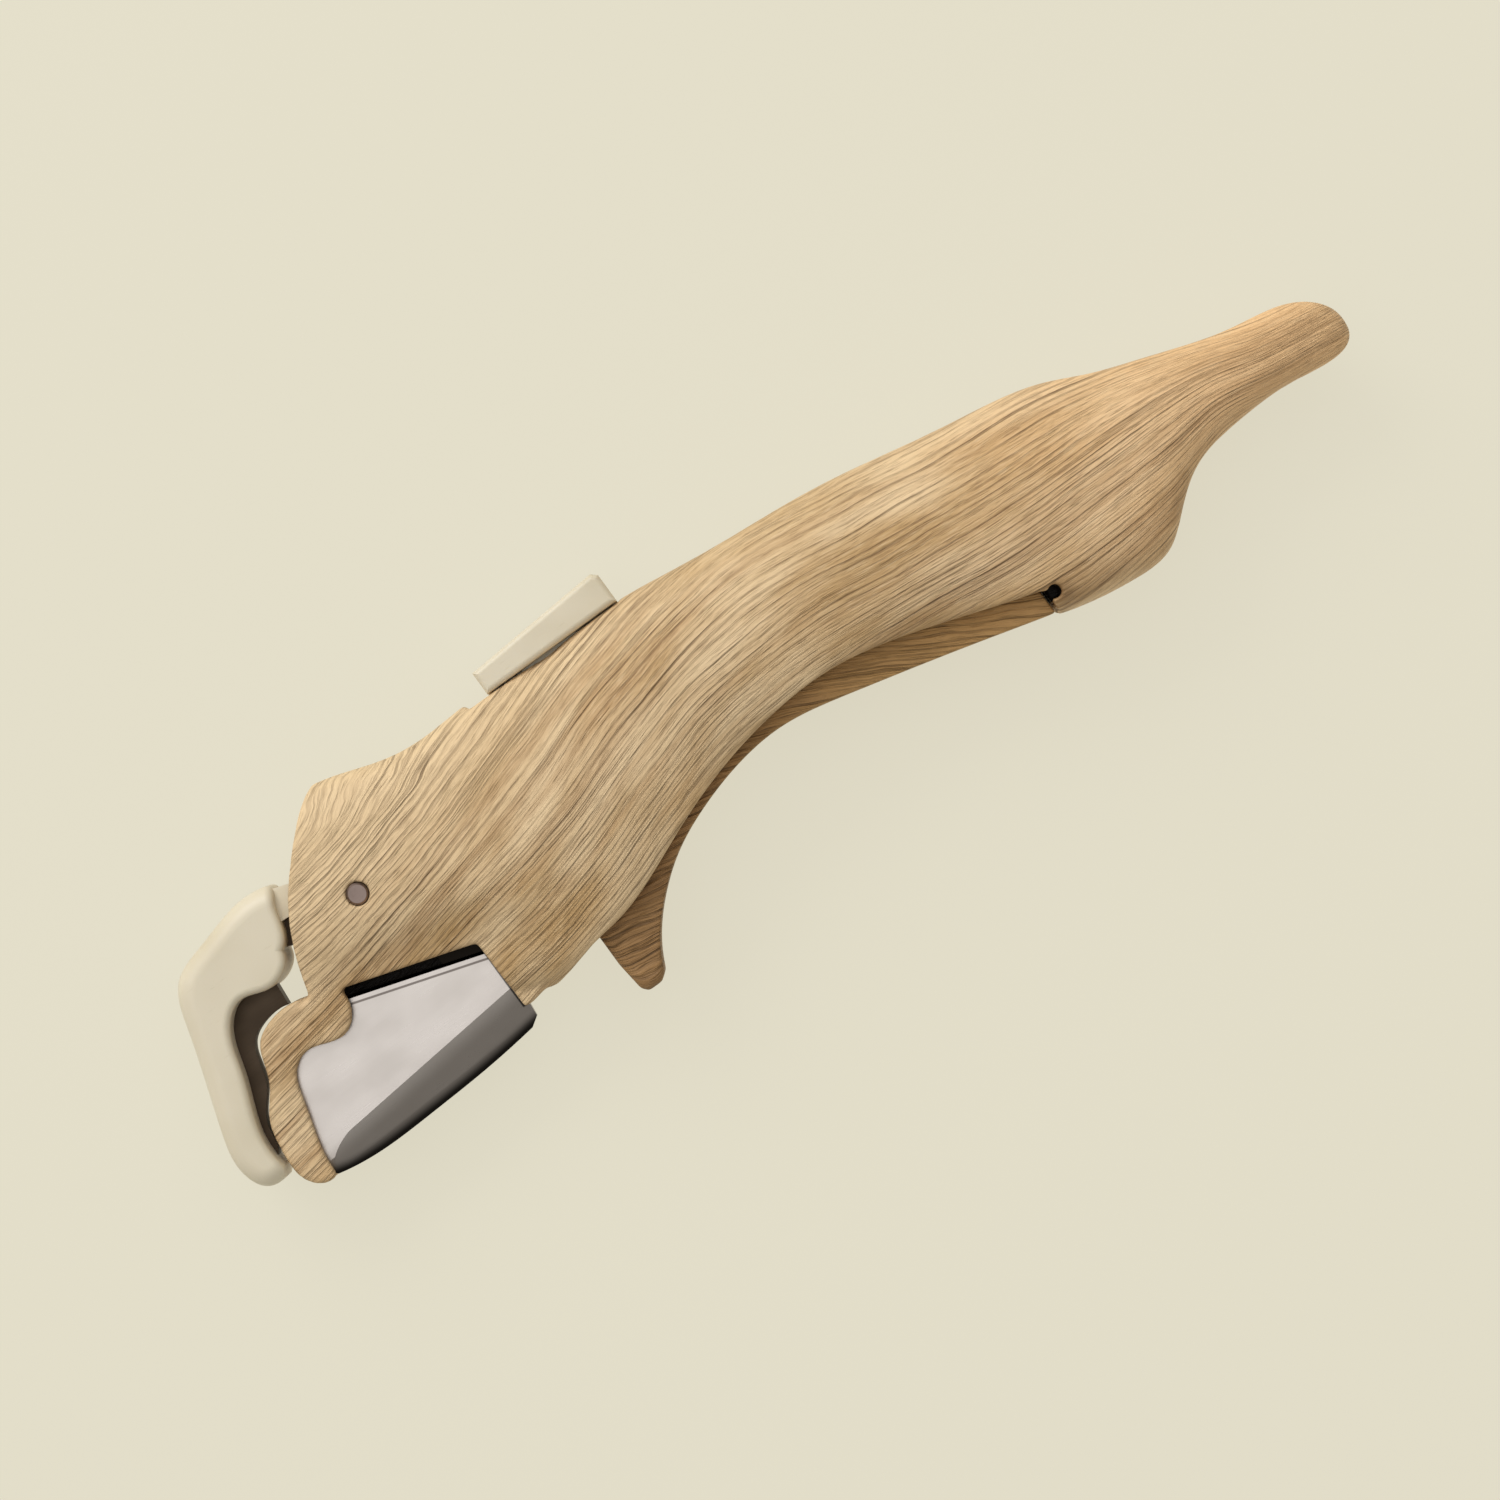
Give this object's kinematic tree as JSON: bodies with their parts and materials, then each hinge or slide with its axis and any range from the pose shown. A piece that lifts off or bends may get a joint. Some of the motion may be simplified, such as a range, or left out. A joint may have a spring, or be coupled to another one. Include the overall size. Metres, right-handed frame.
{
  "type": "swivel knife",
  "caption": "Hand knife with a wood-grained body, a squeeze lever that swings a short bevelled blade, a swivelling nose guard and a thumb slider that opens it.",
  "frame": {"origin": "centre of the bounding box in X and Y, at the flat land on the right shell that the knife rests on", "axes": "+X from the nose to the tail, +Y towards the thumb slider, +Z out of the left side"},
  "size_m": [0.1894, 0.0504, 0.021],
  "materials": {
    "wood": "open-grained pale oak, oiled",
    "dark_wood": "darker open-grained oak, oiled",
    "cream_plastic": "moulded, satin",
    "blade_steel": "ground and finely brushed, dark ground bevel",
    "plate_steel": "blanked, tumbled",
    "pin_steel": "turned",
    "screw_steel": "blackened",
    "spring_steel": "drawn",
    "brass": "turned"
  },
  "bodies": {
    "body": {"left_shell": "wood", "right_shell": "wood", "guard_pivot_pin": "pin_steel", "lever_pivot_pin": "pin_steel", "blade_pivot_pin": "pin_steel", "locating_dowels": "pin_steel", "shell_screws": "screw_steel", "threaded_inserts": "brass", "slide_guide": "spring_steel", "detent_spring": "spring_steel", "lever_return_spring": "spring_steel", "guard_torsion_spring": "spring_steel"},
    "lever": {"squeeze_lever": "dark_wood", "lever_bush": "brass", "lever_nose_plate": "plate_steel", "lever_rivets": "pin_steel"},
    "guard": {"nose_guard": "cream_plastic", "guard_arm": "plate_steel", "guard_bush": "brass", "guard_pins": "pin_steel", "horn_pin": "pin_steel"},
    "blade": {"blade": "blade_steel", "blade_carrier": "plate_steel", "blade_bush": "brass", "blade_rivets": "pin_steel", "drive_pin": "pin_steel"},
    "slider": {"thumb_slider": "cream_plastic", "slider_carriage": "plate_steel", "slider_screws": "screw_steel", "push_rod": "plate_steel", "rod_rivets": "pin_steel"}
  },
  "joints": [
    {"name": "lever_squeeze", "type": "hinge", "parent": "body", "child": "lever", "pos_m": [0.035, -0.0065, 0.01], "axis": [0, 0, -1], "range_deg": [0, 4], "stiffness_Nm_per_rad": 3, "springref_deg": -2.86, "deforming": ["lever_return_spring"]},
    {"name": "blade_swing", "type": "hinge", "parent": "body", "child": "blade", "pos_m": [-0.0515, 0.0015, 0.01], "axis": [0, 0, 1], "range_deg": [0, 6]},
    {"name": "guard_swivel", "type": "hinge", "parent": "body", "child": "guard", "pos_m": [-0.0594, 0.0086, 0.01], "axis": [0, 0, -1], "range_deg": [0, 28], "stiffness_Nm_per_rad": 0.05, "springref_deg": -22.92, "deforming": ["guard_torsion_spring"]},
    {"name": "thumb_slide", "type": "slide", "parent": "body", "child": "slider", "axis": [-1, 0, 0], "range_m": [0, 0.00315]}
  ],
  "couplings": [
    {"joint": "blade_swing", "follows": "lever_squeeze", "ratio": 1.5},
    {"joint": "guard_swivel", "follows": "thumb_slide", "rad_per_m": 155.14}
  ]
}
